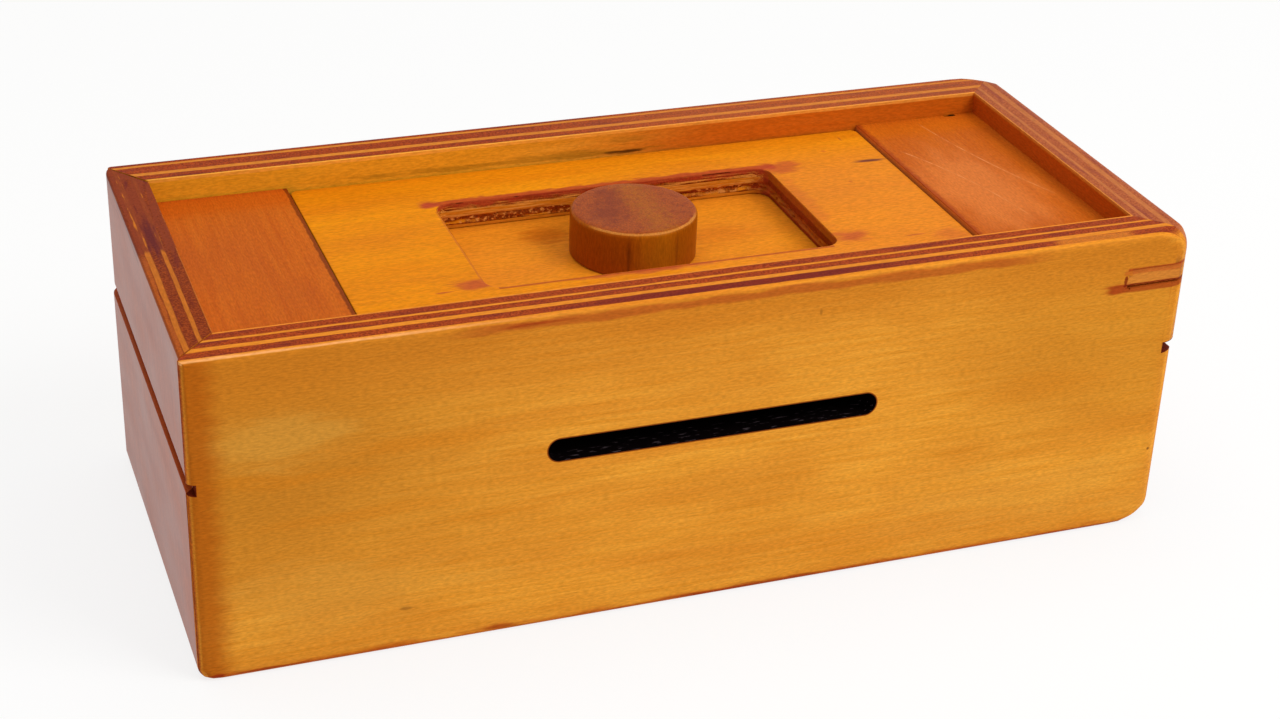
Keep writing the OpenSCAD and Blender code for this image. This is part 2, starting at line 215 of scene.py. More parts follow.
def plywood(name, board, hex_tones, layers=(), gloss=0.40, specular=0.015):
    """The finish of a board that sheet() describes, in tones that tones() names."""
    tone = {key: linear(value) for key, value in hex_tones.items()}
    material, tree, shader = new_material(name)
    place = millimetres(tree)
    across, face, core = board["across"], *board["grain"]

    # depth below the outer face, made a little uneven, and the veneer that it falls in
    depth = add(tree, "SeparateXYZ", (place,), out=across)
    depth = add(tree, "Math", (depth, board["outer"]/MM), operation="SUBTRACT")
    depth = add(tree, "Math", (depth, board["inward"]), operation="MULTIPLY")
    uneven = torn_noise(tree, place, (face, 7.0, 2.5), 4.0, 4.0, WAVER, 0.25, 0.75)
    wavy_depth = add(tree, "Math", (depth, uneven), operation="ADD")
    kind, glue = veneers(tree, wavy_depth, board["ends"], board["first"])

    # each set of veneers has its own fibre direction
    speckle, pores, grain, square = [
        add(tree, "Mix", {0: kind, 2: make(face), 3: make(core)})
        for make in (
            lambda axis: fibres(tree, place, axis, *SPECKLE, 2.0, 2.0),
            lambda axis: fibres(tree, place, axis, *PORE, 1.0),
            lambda axis: fibres(tree, place, axis, *GRAIN, 3.0, 7.0),
            lambda axis: squareness(tree, axis),
        )]

    # long grain: light and dark fibres, broad warm streaks and soft clouds
    contrast = add(tree, "MapRange", (grain, 0.25, 0.75))
    colour = blend(tree, contrast, tone["light"], tone["dark"])
    streak = fibres(tree, place, face, *STREAK, 3.0, 3.0)
    streak = add(tree, "MapRange", (streak, 0.45, 0.72, 0.0, 0.6))
    cloud = fibres(tree, place, face, *CLOUD, 3.0, 9.0)
    warm = add(tree, "MapRange", (cloud, 0.62, 0.36, 0.0, 0.4))
    warm = add(tree, "Math", (streak, warm), operation="MAXIMUM")
    colour = blend(tree, warm, colour, tone["warm"])
    on_edge = add(tree, "MapRange", (squareness(tree, across), 0.9, 0.5, 0.0, 0.7))
    colour = blend(tree, on_edge, colour, tone["edge"])

    # end grain drinks more stain, and holds pools of it
    cut = add(tree, "MapRange", (square, 0.62, 0.95), interpolation_type="SMOOTHSTEP")
    dots = add(tree, "MapRange", (speckle, 0.36, 0.64))
    end = blend(tree, dots, tone["deep"], tone["end"])
    pooled = fibres(tree, place, face, *POOL, 4.0, 5.0)
    pooled = add(tree, "MapRange", (pooled, 0.50, 0.66, 0.0, 0.7))
    end = blend(tree, pooled, end, tone["pool"])
    colour = blend(tree, cut, colour, end)
    line = add(tree, "Math", (glue, on_edge), operation="MULTIPLY")
    colour = blend(tree, line, colour, tone["deep"])

    for layer_tone, make_mask in layers:
        colour = blend(tree, make_mask(tree, place, depth), colour, linear(layer_tone))
    fleck = add(tree, "MapRange", (speckle, 0.32, 0.68, 0.86, 1.11))
    dash = add(tree, "MapRange", (pores, 0.24, 0.42, 0.90, 1.0))
    shade = add(tree, "Math", (fleck, dash), operation="MULTIPLY")
    soft = add(tree, "MapRange", (cloud, 0.25, 0.75, 0.97, 1.03))
    shade = add(tree, "Math", (shade, soft), operation="MULTIPLY")
    colour = add(tree, "VectorMath", {0: colour, "Scale": shade}, operation="SCALE")

    shader.inputs["Specular IOR Level"].default_value = specular
    tree.links.new(colour, shader.inputs["Base Color"])
    wiped = add(tree, "MapRange", (cloud, 0.25, 0.75, gloss - 0.05, gloss + 0.06))
    tree.links.new(wiped, shader.inputs["Roughness"])
    relief = add(tree, "Bump", {"Strength": 0.15, "Distance": 0.12*MM, "Height": pores})
    tree.links.new(relief, shader.inputs["Normal"])
    return material


# %% [markdown]
# ## Layers that only some boards have
#
# The money slot was burnt through, so its walls are black. Inside, below the deck, the boards were
# never stained: only the overspray reaches down a little. In the kerf and along the outer edges
# the stain stands deeper. Stain marks are soft ellipses whose edge is broken up along the grain.
# The same masks also paint light: painted highlights along eased edges, painted shade on faces that
# look away from the lamp, and the knob's painted shadow on the slider.


# %% Masks for the layers
SLOT_LEFT, SLOT_RIGHT, SLOT_Z, SLOT_R = -28.8, 28.0, 35.1, 2.1
DECK_FOOT, WALL_THICKNESS = 50.0, 9.0


def stain_and_light_marks(plane, marks, ragged=0.5, streaks=("X", 7.0, 0.9)):
    """Mask maker for marks (u, v, half length, half width, strength) in the plane of two axes.

    A mark's distance is the length of ((u - u0)/half length, (v - v0)/half width) plus noise, and
    it fades out from 0.3 to 1.1 of its size. Where marks meet, the stronger shows."""
    def make(tree, place, depth):
        torn = torn_noise(tree, place, streaks, 3.0, 2.0, ragged)
        flat = [add(tree, "SeparateXYZ", (place,), out=axis) for axis in plane]
        flat = add(tree, "CombineXYZ", flat)
        covered = 0.0
        for u0, v0, half_u, half_v, strength in marks:
            centred = add(tree, "VectorMath", (flat, (u0, v0, 0)), operation="SUBTRACT")
            unit = add(tree, "VectorMath", (centred, (half_u, half_v, 1)), operation="DIVIDE")
            far = add(tree, "VectorMath", (unit,), out="Value", operation="LENGTH")
            far = add(tree, "Math", (far, torn), operation="ADD")
            mark = add(tree, "MapRange", (far, 1.1, 0.3, 0.0, strength),
                       interpolation_type="SMOOTHSTEP")
            covered = add(tree, "Math", (covered, mark), operation="MAXIMUM")
        return covered
    return make


def stain_and_light_box(strength=1.0, soft=0.1, ragged=0.0, streaks=("X", 9.0, 1.5), **limits):
    """Mask maker for a box: deeper stain in most layers, and painted highlight and painted shade in
    some.

    Its limits are X=(low, high) and so on in mm, or (low, high, soft) where an axis has its own
    softness."""
    def make(tree, place, depth):
        torn = torn_noise(tree, place, streaks, 3.0, 6.0, ragged)
        covered = strength
        for axis, (low, high, *own_soft) in limits.items():
            along = add(tree, "SeparateXYZ", (place,), out=axis)
            along = add(tree, "Math", (along, torn), operation="ADD")
            inside = band(tree, along, low, high, *(own_soft or [soft]))
            covered = add(tree, "Math", (inside, covered), operation="MULTIPLY")
        return covered
    return make


def light_scratches(arcs, half_width):
    """Mask maker for thin curved scratches on a top: arcs (x, y, radius, low y, high y) in mm.

    A point is on an arc if its distance to (x, y) differs from the radius by under half_width."""
    def make(tree, place, depth):
        flat = add(tree, "VectorMath", (place, (1, 1, 0)), operation="MULTIPLY")
        y = add(tree, "SeparateXYZ", (place,), out="Y")
        worn = fibres(tree, place, "Y", 4.0, 1.0, 3.0, 8.0)
        worn = add(tree, "MapRange", (worn, 0.40, 0.60, 0.15, 0.8))
        covered = 0.0
        for x0, y0, radius, low, high in arcs:
            far = add(tree, "VectorMath", (flat, (x0, y0, 0)), out="Value", operation="DISTANCE")
            line = band(tree, far, radius - half_width, radius + half_width, 0.12)
            part = band(tree, y, low, high, 3.0)
            line = add(tree, "Math", (line, part), operation="MULTIPLY")
            covered = add(tree, "Math", (covered, line), operation="MAXIMUM")
        return add(tree, "Math", (covered, worn), operation="MULTIPLY")
    return make


def flecks(mask, axis, length, width, low, high):
    """Mask maker that keeps another mask where fibres along axis are brighter than low, and all of
    it from high on."""
    def make(tree, place, depth):
        fine = fibres(tree, place, axis, length, width, 4.0, 12.0)
        fine = add(tree, "MapRange", (fine, low, high))
        return add(tree, "Math", (mask(tree, place, depth), fine), operation="MULTIPLY")
    return make


def on_face(mask):
    """Mask maker that keeps another mask only on the outer face, off the rim."""
    def make(tree, place, depth):
        skin = add(tree, "MapRange", (depth, 0.6, 0.25))
        return add(tree, "Math", (mask(tree, place, depth), skin), operation="MULTIPLY")
    return make


def bare_inside(tree, place, depth):
    """Mask for the unstained inside: below the deck, in the inner part of the walls' thickness."""
    z = add(tree, "SeparateXYZ", (place,), out="Z")
    spray = torn_noise(tree, place, ("Z", 3.0, 3.0), 3.0, 0.0, 3.0)
    z = add(tree, "Math", (z, spray), operation="ADD")
    under = band(tree, z, 3.0, DECK_FOOT - 3.0, 4.0)
    inner = add(tree, "MapRange", (depth, 0.55*WALL_THICKNESS, 0.62*WALL_THICKNESS))
    return add(tree, "Math", (under, inner), operation="MULTIPLY")


def burnt_slot(radius):
    """Mask maker for the slot's walls: within radius of the line that the slot's ends turn on."""
    def make(tree, place, depth):
        x, z = [add(tree, "SeparateXYZ", (place,), out=axis) for axis in "XZ"]
        beyond = add(tree, "Math", (x, (SLOT_LEFT + SLOT_RIGHT)/2), operation="SUBTRACT")
        beyond = add(tree, "Math", (beyond,), operation="ABSOLUTE")
        beyond = add(tree, "Math", (beyond, (SLOT_RIGHT - SLOT_LEFT)/2), operation="SUBTRACT")
        beyond = add(tree, "Math", (beyond, 0.0), operation="MAXIMUM")
        above = add(tree, "Math", (z, SLOT_Z), operation="SUBTRACT")
        far = add(tree, "CombineXYZ", (beyond, above))
        far = add(tree, "VectorMath", (far,), out="Value", operation="LENGTH")
        return add(tree, "MapRange", (far, radius + 0.12, radius + 0.05))
    return make


# %% [markdown]
# ## The boards and their tones
#
# The carcass is a nine millimetre, seven-layer board. The left end was cut down after the glue-up
# and has lost its outer veneer, so its bands lie one step further out than those of the front wall
# and don't meet them at the mitre. The deck is thinner plywood: the side panels run across the
# box and took an orange stain, the middle panel runs along it and stayed golden. The veneer ends
# below are depths in millimetres from the outer face. The dowel and the laths are solid wood, so
# they have none.


# %% Boards
def sheet(across, outer, inward, grain, ends, first=0):
    """What the finish has to know of a board.

    across is the axis through it and outer the place of its outer face on that axis, in metres.
    grain names the axes that the two sets of veneers run along, the face veneers first."""
    return dict(across=across, outer=outer, inward=inward, grain=grain, ends=ends, first=first)


def flat_sheet(node, grain, ends=()):
    """A board that lies flat, so that its outer face is the top of its node."""
    return sheet("Z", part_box(node)[1].z, -1, grain, ends)


FRONT = sheet("Y", cad_low.y, 1, "XZ", (1.25, 3.15, 4.45, 6.1, 6.8, 8.75))
BACK = sheet("Y", cad_high.y, -1, "XZ", (0.5, 1.8, 2.7, 5.4, 6.7, 8.7))
LEFT = sheet("X", cad_low.x, 1, "YZ", (1.5, 2.5, 4.3, 5.1, 6.9), first=1)
RIGHT = sheet("X", cad_high.x, -1, "YZ", (1.2, 3.2, 4.5, 6.2, 7.0, 8.4))
MIDDLE_PANEL = flat_sheet("centre_deck_panel", "XY", (0.2, 1.75, 3.15, 4.6))
SIDE_PANEL = flat_sheet("left_deck_panel", "YX", (0.6, 2.0, 3.5, 5.2))
SLIDER = flat_sheet("slider_board", "XY", (0.6, 1.8, 2.9))
HIDDEN_BOARD = flat_sheet("lid_carrier", "XY", (1.2, 2.4, 3.6, 4.8))
DOWEL = flat_sheet("knob", "ZZ")
LATH = flat_sheet("back_bolt", "XX")

# %% Tones
# Light and dark long grain, warm streaks, cut edges, end grain, its darkest pores, standing stain
TONE_NAMES = ("light", "dark", "warm", "edge", "end", "deep", "pool")


def tones(row):
    """The tones of a board by name, from a row of hex colours."""
    return dict(zip(TONE_NAMES, row.split()))


HONEY = tones("#E8A23A #D48A26 #CC7A20 #DA7C20 #A84418 #84300E #6E241E")
HONEY_BACK = dict(HONEY, edge="#C87024")
HONEY_LEFT = tones("#C8722A #B05C1E #A04C1A #BC681C #923E14 #70280C #641F1E")
HONEY_RIGHT = tones("#CC7E40 #B86830 #B05C28 #B6683A #B05E34 #9C4C2A #8C4030")
GOLDEN = tones("#E68E0C #D87E0C #CE6C0C #C87820 #963E08 #561C04 #7A2414")
ORANGE = tones("#C66418 #B65412 #B04E12 #B04E12 #86340E #5A1E08 #6A2018")
# Faces that look left: darker, mauve tones as painted shade and a painted reflection tint
SHADED_LEFT = tones("#B05C38 #9C4C30 #92442E #92442E #92401C #702810 #641F2C")
KNOB = tones("#C87208 #984A08 #B05E0A #AE5C06 #A44A16 #8C4014 #823416")
BARE = tones("#E2C08C #D2A870 #D8B07A #D2A870 #BC8C58 #9A6E42 #A87A4E")
BEECH = tones("#C89058 #B27C46 #B88450 #B88450 #9A6638 #7E4E2A #8A5A34")

# %% Layers that several walls share
RIM, LIP = (60.2, 62, 0.5), (60.5, 62)
KERF = (36.52, 38.68)
KERF_TONE, DEEP_KERF = "#A84A20", "#661E0A"
inside = ("#DDB888", bare_inside)
foot = ("#B0440F", stain_and_light_box(Z=(-2, 0.5), soft=1.4, strength=0.75, ragged=0.8))
right_kerf = (DEEP_KERF, stain_and_light_box(X=(88, 94), Z=(36.5, 38.7), soft=0.08))
wall_kerfs = ((DEEP_KERF, stain_and_light_box(X=(-94, -90.42), Z=KERF, soft=0.05)), right_kerf)

# %% Front wall
SKIN = (-41, -39, 0.3)
EDGE_ARC = dict(Z=(60.5, 60.85), Y=(-40, -39.5), soft=0.16, ragged=0.08)
face_stains = dict(
    left_dusk=("#C07A22", stain_and_light_box(X=(-93, -80, 60), Z=(34, 62, 30), strength=0.9, ragged=2)),
    right_dusk=("#C27C20", stain_and_light_box(X=(72, 93, 45), Z=(40, 62, 36), strength=0.6, ragged=2)),
    bands=("#CC7A1A", stain_and_light_marks(
        "XZ", ((-77, 37.5, 20, 2.2, 0.5), (-52, 40.2, 19, 2.6, 0.5), (-62, 28.5, 24, 1.4, 0.35),
        (-40, 24.8, 18, 1, 0.4), (-25, 36, 16, 2, 0.3), (66, 33, 14, 4, 0.3)), 0.7, ("X", 24, 3))),
    pale=("#D49C40", stain_and_light_marks(
        "XZ", ((-76, 44.5, 15, 6, 0.45), (-70, 14, 30, 8, 0.3), (60, 10, 34, 9, 0.25)), 0.6,
        ("X", 16, 3))),
    top=("#C2701A", stain_and_light_box(Z=(58, 60.5), soft=13, strength=0.6, ragged=1)),
    left=("#AC580E", stain_and_light_box(X=(-93, -89.5), soft=5, strength=0.85, ragged=1)),
    right=("#C06C18", stain_and_light_box(X=(91, 93), soft=5, strength=0.4, ragged=1)),
    foot=foot)
front_details = dict(
    under_edge=("#A4401A", stain_and_light_box(
        Z=(59.2, 60.1), Y=(-41, -39.9), X=(-38, 52, 14), soft=0.6, ragged=0.5, strength=0.6)),
    marks=("#963010", stain_and_light_marks(
        "XZ", ((76.6, 51.1, 3.6, 1.3, 0.9), (-88.6, 1, 1.6, 0.5, 0.95), (-81, 0.9, 9, 0.35, 0.7),
        (-33, 59.9, 7, 0.5, 0.7), (70, 0.4, 24, 0.6, 0.6), (10, 0.7, 32, 0.7, 0.7),
        (-39, 1.2, 4, 0.5, 0.6)))),
    dots=("#7A4A1C", stain_and_light_marks(
        "XZ", ((-56, 8.3, 1.4, 0.5, 0.5), (88.4, 16, 0.4, 0.4, 0.9), (18, 54.8, 0.3, 0.8, 0.4)),
        0.3)),
    rim_pool=("#6A1C18", stain_and_light_box(
        Z=RIM, Y=(-39.1, -37.4), X=(-12, 22, 24), soft=0.3, ragged=0.3, strength=0.75)),
    rim_gap=("#E08828", stain_and_light_box(
        Z=RIM, Y=(-39.3, -37.3), X=(66, 78, 3), soft=0.4, ragged=0.7, strength=0.5)),
    # Painted highlight along the front wall's inner top edge.
    lip_highlight=("#E88A30", stain_and_light_box(Z=LIP, Y=(-31.7, -31), soft=0.2, ragged=0.1, strength=0.5)))
splinter = dict(
    floor=("#C87832", stain_and_light_box(Y=(-40.3, -39.9), Z=(51.6, 54.7), X=(78.2, 94), strength=0.7)),
    blush=("#B4501E", stain_and_light_box(
        Y=(-40.3, -39.9), Z=(53.9, 54.8), X=(78, 94), soft=0.4, ragged=0.4, strength=0.6)),
    edge=("#A03A14", stain_and_light_box(
        Y=SKIN, Z=(54.65, 54.8), X=(78.6, 94), soft=0.3, ragged=0.2, strength=0.8)),
    foot=("#A04416", stain_and_light_box(
        Y=SKIN, Z=(50.3, 51.5), X=(76.5, 94, 2), soft=0.35, ragged=0.3, strength=0.9)),
    crack=("#6E200A", stain_and_light_box(
        Y=(-40.6, -39), Z=(51.5, 51.62), X=(77.8, 94), soft=0.18, ragged=0.25,
        streaks=("X", 1.5, 0.6), strength=0.9)),
    step=("#7A260C", stain_and_light_box(
        Y=(-40.6, -39), Z=(51.6, 53.4), X=(78.1, 78.35), soft=0.2, ragged=0.25,
        streaks=("Z", 1, 0.6), strength=0.9)))
# Painted highlight on the upper part of the front wall's rounded top edge: pale peach at the left
# end, and further right a thin gold line that is partly the outer veneer's own gold and partly
# painted highlight.
painted_edge_highlight = dict(
    gold=("#EC9C2C", stain_and_light_box(X=(12, 82, 16), strength=0.3, **EDGE_ARC)),
    peach_highlight=("#F2AC6C", stain_and_light_box(X=(-91.6, -66, 42), strength=0.75, **EDGE_ARC)))
slot = dict(
    halo=("#8A4412", burnt_slot(SLOT_R + 0.2)),
    walls=("#0A0506", burnt_slot(SLOT_R)),
    crumbs=("#4A4044", flecks(stain_and_light_box(
        Z=(32.5, 34.2), Y=(-40.4, -36), X=(-31, 30)), "X", 2.4, 0.5, 0.60, 0.66)))
front_ply = plywood("honey_plywood_front", FRONT, HONEY, (
    *((tone, on_face(mask)) for tone, mask in face_stains.values()), *front_details.values(),
    *splinter.values(), *painted_edge_highlight.values(), inside, *wall_kerfs, *slot.values()))

# %% Back wall
INNER_FACE = (31.3, 31.9)
back_layers = dict(
    inner_right=("#C05408", stain_and_light_box(X=(34, 92, 50), Y=INNER_FACE, strength=0.85)),
    rim_right=("#C87038", stain_and_light_box(X=(30, 92, 50), Z=LIP, strength=0.25)),
    inner_left=("#E69E1A", stain_and_light_box(X=(-92, -30, 50), Y=INNER_FACE, strength=0.7)),
    foot=foot,
    inner_foot=("#8A6210", stain_and_light_marks(
        "XZ", ((-20, 56.8, 40, 0.7, 0.5), (-2, 57, 14, 0.9, 0.6), (8, 59, 5, 0.8, 0.3)), 0.7,
        ("X", 9, 0.8))),
    knots=("#3E2208", stain_and_light_marks(
        "XZ", ((7.5, 56.5, 5, 0.45, 0.9), (78.5, 56.5, 1.2, 0.3, 1)), 0.4, ("X", 3, 0.5))),
    # Painted highlight along the back wall's inner top edge.
    lip_highlight=("#F4A440", stain_and_light_box(Z=LIP, Y=(30.9, 31.7), soft=0.2, ragged=0.1, strength=0.7)))
back_ply = plywood("honey_plywood_back", BACK, HONEY_BACK,
                   (*back_layers.values(), inside, *wall_kerfs))

# %% Ends
left_layers = dict(
    outer_band=("#B85C1C", stain_and_light_box(
        Z=RIM, X=(-92.4, -90.7), Y=(-36, -4, 8), soft=0.3, strength=0.6, streaks=("Y", 9, 0.5),
        ragged=0.3)),
    far_rim=("#84361A", stain_and_light_box(
        Z=RIM, Y=(2, 42), soft=1.5, strength=0.92, ragged=3, streaks=("Y", 9, 0.9))),
    mark=("#5A1C20", stain_and_light_marks("XY", ((-88.3, 7, 1.6, 9, 0.8),), 0.5, ("Y", 5, 0.6))),
    top_line=("#7A2A10", stain_and_light_box(X=(-92.4, -91.35), Z=(60.4, 61.5), soft=0.15, strength=0.5)),
    inside=inside,
    kerf=(KERF_TONE, stain_and_light_box(X=(-94, -89.9), Z=KERF, soft=0.06))).values()
left_ply = plywood("honey_plywood_left", LEFT, HONEY_LEFT, left_layers)
# The left end's outer face: more gloss, and the painted shade and reflection tones above
left_glossy_shaded_face = plywood("honey_plywood_left_glossy_shaded", LEFT, SHADED_LEFT, left_layers, specular=0.5)
right_ply = plywood("honey_plywood_right", RIGHT, HONEY_RIGHT, (
    # The right end's inner face, darker: its red-brown stain, and painted shade as it looks away
    # from the lamp.
    ("#B84C08", stain_and_light_box(X=(82, 83.3), Z=(40, 60.6), soft=0.2, strength=0.9)),
    # Painted highlight along the right end's inner top edge.
    ("#D8842C", stain_and_light_box(X=(82.6, 83.5), Z=LIP, soft=0.2, strength=0.6)), inside, right_kerf))

# %% Middle panel of the deck
DECK = (55.4, 57.2)
BACK_OF_WINDOW = dict(X=(-36, 31), Y=(16, 20.5), soft=0.2)
middle_layers = dict(
    blush=("#DE8028", stain_and_light_box(Z=DECK, X=(42, 60, 60), Y=(-32, 10, 24), strength=0.6)),
    front_edge=("#CC680C", stain_and_light_box(Z=DECK, Y=(-32, -28.5), soft=3, strength=0.5, ragged=1)),
    back_edge=("#D0780A", stain_and_light_box(Z=DECK, Y=(28.5, 32), soft=3, strength=0.3, ragged=1)),
    window_wall=("#9A4608", stain_and_light_box(
        Z=(50, 55.4), X=(-36, 33), Y=(-19.5, 19.8), soft=0.2, strength=0.2)),
    right_wall=("#7A2C06", stain_and_light_box(
        Z=(50, 55.5), X=(30.9, 34), Y=(-19.5, 19.8), soft=0.3, strength=0.5)),
    tan_lines=("#D8903C", flecks(stain_and_light_box(Z=(53, 55.6), **BACK_OF_WINDOW), "X", 9, 0.25, 0.46, 0.58)),
    torn_flecks=("#CA7E36", flecks(stain_and_light_box(
        Z=(51.5, 53.1), **BACK_OF_WINDOW), "X", 0.9, 0.7, 0.52, 0.60)),
    window_bleed=("#A83A20", stain_and_light_box(
        Z=DECK, Y=(17.4, 18.9), X=(-36, 33, 1.5), soft=1, ragged=0.8, streaks=("X", 3, 1),
        strength=0.85)),
    window_marks=("#B24428", stain_and_light_marks(
        "XY", ((-36.8, -15.9, 4.8, 2.4, 0.75), (-43, -17.7, 2.4, 0.35, 0.8),
        (-36, 18.4, 2.6, 1.8, 0.9), (34.6, -15.6, 4.2, 3.2, 0.7), (34.5, 17.2, 5.4, 4, 0.65),
        (33, 2, 2.2, 16, 0.3), (47, -18.3, 2.6, 0.4, 0.6), (53, -20, 4, 3.6, 0.35),
        (-4, -19.2, 16, 1, 0.7), (46, 22.4, 0.7, 0.6, 0.5), (45, 7.2, 0.6, 0.5, 0.5)), 0.45,
        ("X", 4, 1.8))),
    front_line=("#A43C1C", stain_and_light_box(
        Z=DECK, Y=(-18.9, -18.4), X=(-33, 30), soft=0.25, ragged=0.15, strength=0.7)),
    side_line=("#BC6020", stain_and_light_box(
        Z=DECK, Y=(-15, 15), X=(-35.2, -34.9), soft=0.2, ragged=0.1, strength=0.6)),
    dark_marks=("#5E2A2C", stain_and_light_marks(
        "XY", ((52.4, 15.6, 4.2, 0.8, 0.9), (51.7, 27.2, 0.3, 1.4, 0.4)), 0.4)))
middle_ply = plywood("golden_plywood", MIDDLE_PANEL, GOLDEN, middle_layers.values())

# %% Side panels and slider
PANEL_SPAN = (-32, 32)
back_shade = stain_and_light_box(Y=(26, 32, 5), soft=1, strength=0.5)
side_ply = plywood("orange_plywood", SIDE_PANEL, ORANGE, dict(
    shade=("#C0520A", back_shade),
    seam=("#5C2008", stain_and_light_box(
        X=(-60, -59.3), Y=PANEL_SPAN, soft=0.35, ragged=0.2, strength=0.7))).values())
right_side_ply = plywood("orange_plywood_right", SIDE_PANEL, ORANGE, dict(
    sheen=("#D67836", stain_and_light_marks("XY", ((67, -3, 14, 24, 0.7),), 0.3, ("Y", 12, 5))),
    shade=("#C8620C", back_shade),
    seam=("#983810", stain_and_light_box(X=(56.8, 57.4, 1), Y=PANEL_SPAN, soft=0.5, ragged=0.4, strength=0.75)),
    scratches=("#DC8C50", light_scratches(
        ((-32.56, -30.29, 103.72, -16, 15), (248.3, 55.03, 180.54, -8, 26)), 0.08)),
    riser=("#E88A3C", stain_and_light_box(X=(56.6, 57.2), Z=(54, 56.5), strength=0.6))).values())
slider_ply = plywood("golden_plywood_slider", SLIDER, GOLDEN, dict(
    wiped=("#E08426", stain_and_light_box(Y=(-30, 30), strength=0.5)),
    # The knob's painted shadow on the slider, left of and behind it, and a faint darker patch to
    # its right.
    knob_shadow_and_patch=("#C2600E", stain_and_light_marks(
        "XY", ((-15, 10.5, 6, 4.5, 0.7), (16, 2, 9, 6, 0.3))))).values())

# %% Knob and hidden wood
knob_top = box_mm("knob")[1][2]
KNOB_SIDE = (50, knob_top - 0.5)
dowel_wood = plywood("lacquered_dowel", DOWEL, KNOB, dict(
    top_marks=("#782E14", stain_and_light_marks(
        "XY", ((-4.5, 5, 3.6, 6, 0.6), (-7.2, -1, 4.4, 5, 0.7)), 0.5, ("X", 2.2, 2.2))),
    front=("#A8620A", stain_and_light_marks("XZ", ((0.5, 55, 5, 7, 0.5),), 0.4, ("Z", 5, 1))),
    left=("#963A04", stain_and_light_box(X=(-14, -7, 3), Z=KNOB_SIDE, soft=0.4, strength=0.5)),
    right=("#8C4204", stain_and_light_box(X=(4, 10, 4), Z=KNOB_SIDE, soft=0.4, strength=0.5)),
    # Painted highlight along the knob's front top edge.
    edge=("#DC9444", stain_and_light_box(
        Z=(knob_top - 0.34, knob_top - 0.12), Y=(-13, -7, 3), soft=0.08, ragged=0.06,
        strength=0.5)),
    checks=("#5E2608", stain_and_light_marks(
        "XZ", ((-6.6, 54.5, 0.5, 5, 0.5), (2.6, 55, 0.35, 5, 0.35)), 0.3, ("Z", 5, 0.4)))
).values(), gloss=0.30, specular=0.03)
bare_ply = plywood("bare_plywood", HIDDEN_BOARD, BARE, gloss=0.65)
bolt_wood = plywood("planed_beech", LATH, BEECH, gloss=0.55)
print("materials", len(bpy.data.materials))

# %% [markdown]
# ## Zinc on the screws and pins
#
# The fasteners are steel with a thin bright zinc coat from a barrel, which leaves a fine grey
# mottle. It is a plain metal: no tint, a low roughness, and noise in both.

# %% Zinc-plated steel
zinc_steel, tree, shader = new_material("zinc_plated_steel")
mottle = fibres(tree, millimetres(tree), "Z", 0.6, 0.6, 3.0)
colour = blend(tree, mottle, linear("#C9C6BC"), linear("#9D9B94"))
rough = add(tree, "MapRange", (mottle, 0.3, 0.7, 0.28, 0.42))
shader.inputs["Metallic"].default_value = 1.0
tree.links.new(colour, shader.inputs["Base Color"])
tree.links.new(rough, shader.inputs["Roughness"])

# %% [markdown]
# ## Easing the edges
#
# A sawn edge is never left sharp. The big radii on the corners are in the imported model, and what
# is missing is the small one that a few strokes of sandpaper leave along every other edge. A copy
# of each board is merged from its loose triangles, its flat faces are joined up again, and a Bevel
# modifier rounds the sharp edges by their own share of one width. The mitres get none, because
# there two boards were sanded as one.


# %% Which edges are eased
SHARP, FLAT = np.radians(28), np.radians(0.5)
LONG_EDGE = 12.0
MITRE_SLACK = 0.05
SLOT_REACH, SLOT_BACK = 32.0, -30.0


def on_mitre(point):
    """Whether a point in mm lies on one of the mitre planes of the carcass."""
    right = point.x > 0
    inner = box_mm("right_upper_end")[0][0] if right else box_mm("left_lower_end")[1][0]
    wall = -box_mm("right_deck_panel")[0][1]
    outer = (cad_high if right else cad_low)/MM
    t = (outer.x - point.x)/(outer.x - inner)
    off = abs(point.y) - abs(outer.y) + t*(abs(outer.y) - wall)
    return -0.05 < t < 1.05 and abs(off) < MITRE_SLACK


def in_slot(point):
    """Whether a point in mm lies on the burnt slot, whose edges stayed sharp."""
    near = abs(point.z - SLOT_Z) < SLOT_R + 0.1
    return near and abs(point.x) < SLOT_REACH and point.y < SLOT_BACK


def easing(a, b):
    """How much of the easing an edge between two points in mm gets."""
    left_sharp = any(lies(a) and lies(b) for lies in (on_mitre, in_slot))
    return 0.0 if left_sharp or (a - b).length < LONG_EDGE else 1.0


# %% [markdown]
# ## Corners rounded by hand
#
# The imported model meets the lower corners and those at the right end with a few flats. They are
# worked into the one curve that sandpaper leaves. At a height h in from the level face the plan of
# the block has the corner radius r + k (1 - cos a)/(sqrt 2 - 1), where sin a = 1 - h/k, r is the
# radius of the upright corner and k is how high the hand rounding reaches.


# %% Hand rounding
UPRIGHT_R, CRISP_R = 4.2, 1.8
REACH, LEFT_REACH = 4.2, 2.4
LEAN = np.sqrt(2) - 1
FAN = np.radians(np.arange(9, 90, 9))
CUT_SLACK, REACH_SLACK, TINY = 0.02, 0.05, 0.01
half_width = -box_mm("front_wall")[0][1]
right_x, top_z = box_mm("right_upper_end")[1][[0, 2]]
foot_x, left_x = box_mm("right_lower_end")[1][0], box_mm("left_lower_end")[0][0]
# The end face and the level face that meet in a corner, the way in from the level one, r and k
HAND_CORNERS = [(*corner, side) for corner in (
    (right_x, top_z, -1, UPRIGHT_R, REACH), (foot_x, 0.0, 1, UPRIGHT_R, REACH),
    (left_x, 0.0, 1, CRISP_R, LEFT_REACH)) for side in (-1, 1)]


